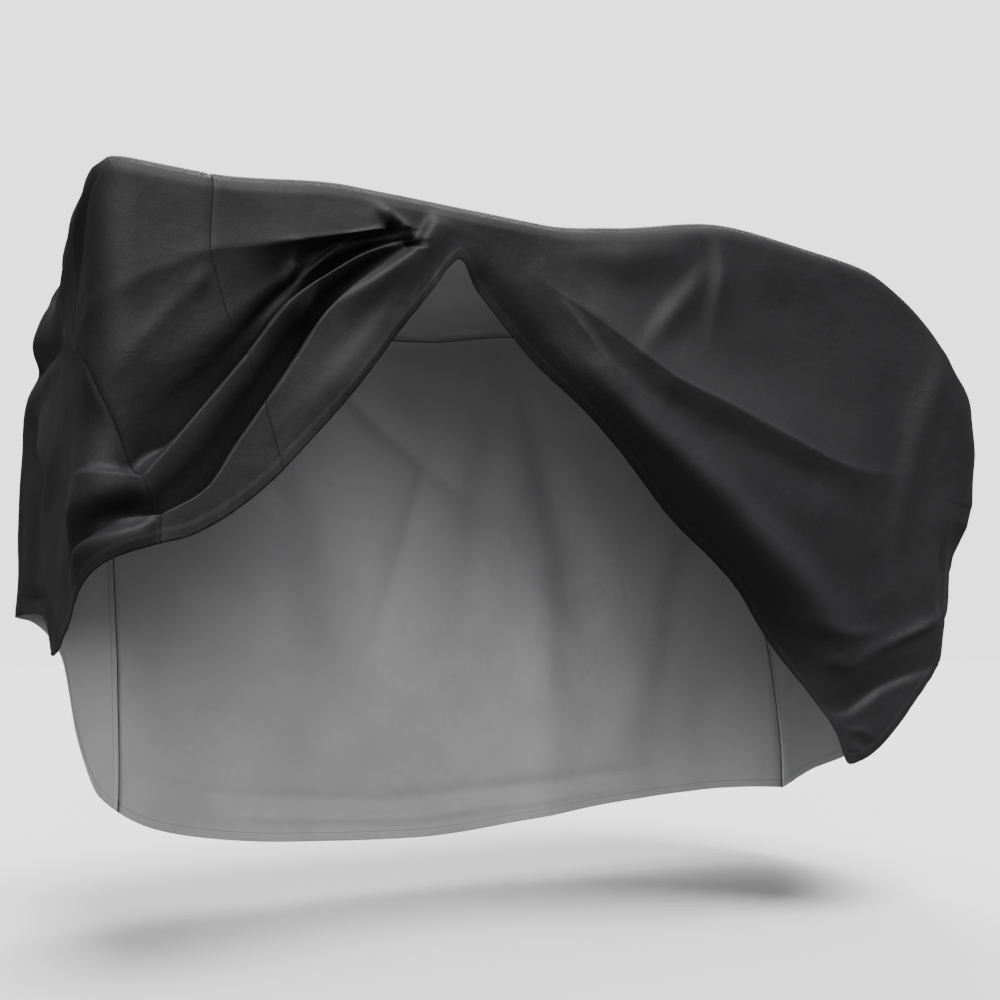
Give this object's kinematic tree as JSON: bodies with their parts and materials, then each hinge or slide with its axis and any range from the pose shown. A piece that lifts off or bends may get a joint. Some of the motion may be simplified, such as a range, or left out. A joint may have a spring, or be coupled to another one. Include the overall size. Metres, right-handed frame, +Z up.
{
  "type": "bicycle cover",
  "caption": "Fitted black cloth cover for parked bicycles, boxy and hollow, with the near hem drawn up into an inverted V and a silvery inside.",
  "frame": {"origin": "under the middle of the top, where the load inside carries the cover", "axes": "+X along the length towards the rounded rear end, +Z up, -Y towards the lifted near side"},
  "size_m": [1.9787, 0.9306, 1.3077],
  "materials": {
    "coated_cloth": "black woven cloth with a soft sheen, silver-grey coating on the inside"
  },
  "bodies": {
    "root": {"near_front_panel": "coated_cloth", "near_side_panel": "coated_cloth", "far_front_panel": "coated_cloth", "far_side_panel": "coated_cloth", "front_strip": "coated_cloth", "top_and_rear_strip": "coated_cloth"}
  },
  "joints": []
}
